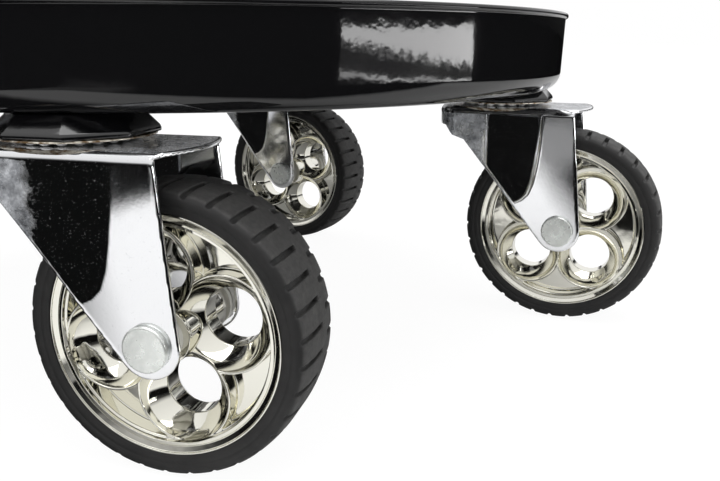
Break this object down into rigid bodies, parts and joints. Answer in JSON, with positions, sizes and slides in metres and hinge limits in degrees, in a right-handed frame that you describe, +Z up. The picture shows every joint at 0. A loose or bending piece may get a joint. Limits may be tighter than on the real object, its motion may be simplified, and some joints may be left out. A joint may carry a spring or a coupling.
{
  "type": "rolling mechanic's creeper seat",
  "caption": "Round padded stool on a gas column, standing in a round steel tool tray that rolls on large chrome swivel casters.",
  "frame": {"origin": "on the floor, on the column's axis, which is the middle of the tray and of the caster circle", "axes": "+Z up along the column, -Y towards the front caster, +X towards the release lever"},
  "size_m": [0.6301, 0.4961, 0.4705],
  "materials": {
    "tyre_rubber": "matte",
    "rim_chrome": "polished",
    "fork_chrome": "polished",
    "lever_chrome": "polished",
    "zinc": "satin",
    "cup_black": "gloss",
    "bearing_steel": "satin",
    "nylon": "matte",
    "tray_paint": "gloss",
    "frame_black": "satin",
    "column_black": "gloss",
    "rod_steel": "polished",
    "soft_rubber": "matte",
    "grip_plastic": "satin",
    "plywood": "matte",
    "foam": "matte",
    "vinyl": "satin"
  },
  "bodies": {
    "base": {"tray": "tray_paint", "column_socket": "frame_black", "socket_gussets": "frame_black", "socket_bolts": "zinc", "socket_nuts": "zinc", "column_tube": "column_black", "column_bushing": "nylon", "caster_stems": "zinc", "caster_washers": "zinc", "caster_nuts": "zinc", "front_swivel_cup": "cup_black", "right_swivel_cup": "cup_black", "rear_swivel_cup": "cup_black", "left_swivel_cup": "cup_black", "front_swivel_bearing": "bearing_steel", "right_swivel_bearing": "bearing_steel", "rear_swivel_bearing": "bearing_steel", "left_swivel_bearing": "bearing_steel"},
    "column_core": {"piston_rod": "rod_steel", "thrust_bearing": "bearing_steel", "rod_clip": "zinc", "rod_bumper": "soft_rubber"},
    "seat": {"pressure_tube": "rod_steel", "rod_seal": "soft_rubber", "seat_plate": "frame_black", "lever_pin": "zinc", "seat_bolts": "zinc", "t_nuts": "zinc", "seat_board": "plywood", "seat_foam": "foam", "seat_cover": "vinyl", "seat_piping": "vinyl"},
    "lever": {"release_lever": "lever_chrome", "lever_grip": "grip_plastic"},
    "valve": {"valve_button": "zinc"},
    "front_caster": {"front_fork": "fork_chrome", "front_axle": "zinc", "front_axle_sleeve": "zinc"},
    "front_wheel": {"front_wheel_rim": "rim_chrome", "front_tyre": "tyre_rubber", "front_hub_bush": "nylon"},
    "right_caster": {"right_fork": "fork_chrome", "right_axle": "zinc", "right_axle_sleeve": "zinc"},
    "right_wheel": {"right_wheel_rim": "rim_chrome", "right_tyre": "tyre_rubber", "right_hub_bush": "nylon"},
    "rear_caster": {"rear_fork": "fork_chrome", "rear_axle": "zinc", "rear_axle_sleeve": "zinc"},
    "rear_wheel": {"rear_wheel_rim": "rim_chrome", "rear_tyre": "tyre_rubber", "rear_hub_bush": "nylon"},
    "left_caster": {"left_fork": "fork_chrome", "left_axle": "zinc", "left_axle_sleeve": "zinc"},
    "left_wheel": {"left_wheel_rim": "rim_chrome", "left_tyre": "tyre_rubber", "left_hub_bush": "nylon"}
  },
  "joints": [
    {"name": "seat_swivel", "type": "hinge", "parent": "base", "child": "column_core", "pos_m": [0, 0, 0.155], "axis": [0, 0, 1], "continuous": true},
    {"name": "seat_lift", "type": "slide", "parent": "column_core", "child": "seat", "axis": [0, 0, 1], "range_m": [0, 0.12]},
    {"name": "release_lever", "type": "hinge", "parent": "seat", "child": "lever", "pos_m": [0.024, 0, 0.3907], "axis": [0, -1, 0], "range_deg": [0, 7], "stiffness_Nm_per_rad": 2},
    {"name": "valve_press", "type": "slide", "parent": "seat", "child": "valve", "axis": [0, 0, -1], "range_m": [0, 0.00295], "stiffness_N_per_m": 400},
    {"name": "front_caster_swivel", "type": "hinge", "parent": "base", "child": "front_caster", "pos_m": [0, -0.207, 0.142], "axis": [0, 0, 1], "continuous": true},
    {"name": "front_wheel_roll", "type": "hinge", "parent": "front_caster", "child": "front_wheel", "pos_m": [0.0441, -0.21597, 0.0635], "axis": [0.1994, 0.9799, 0], "continuous": true},
    {"name": "right_caster_swivel", "type": "hinge", "parent": "base", "child": "right_caster", "pos_m": [0.207, 0, 0.142], "axis": [0, 0, 1], "continuous": true},
    {"name": "right_wheel_roll", "type": "hinge", "parent": "right_caster", "child": "right_wheel", "pos_m": [0.24967, -0.01428, 0.0635], "axis": [0.3173, 0.9483, 0], "continuous": true},
    {"name": "rear_caster_swivel", "type": "hinge", "parent": "base", "child": "rear_caster", "pos_m": [0, 0.207, 0.142], "axis": [0, 0, 1], "continuous": true},
    {"name": "rear_wheel_roll", "type": "hinge", "parent": "rear_caster", "child": "rear_wheel", "pos_m": [0.04078, 0.18798, 0.0635], "axis": [0.4226, 0.9063, 0], "continuous": true},
    {"name": "left_caster_swivel", "type": "hinge", "parent": "base", "child": "left_caster", "pos_m": [-0.207, 0, 0.142], "axis": [0, 0, 1], "continuous": true},
    {"name": "left_wheel_roll", "type": "hinge", "parent": "left_caster", "child": "left_wheel", "pos_m": [-0.25047, 0.01165, 0.0635], "axis": [-0.2588, -0.9659, 0], "continuous": true}
  ],
  "couplings": [
    {"joint": "valve_press", "follows": "release_lever", "m_per_rad": 0.024}
  ]
}
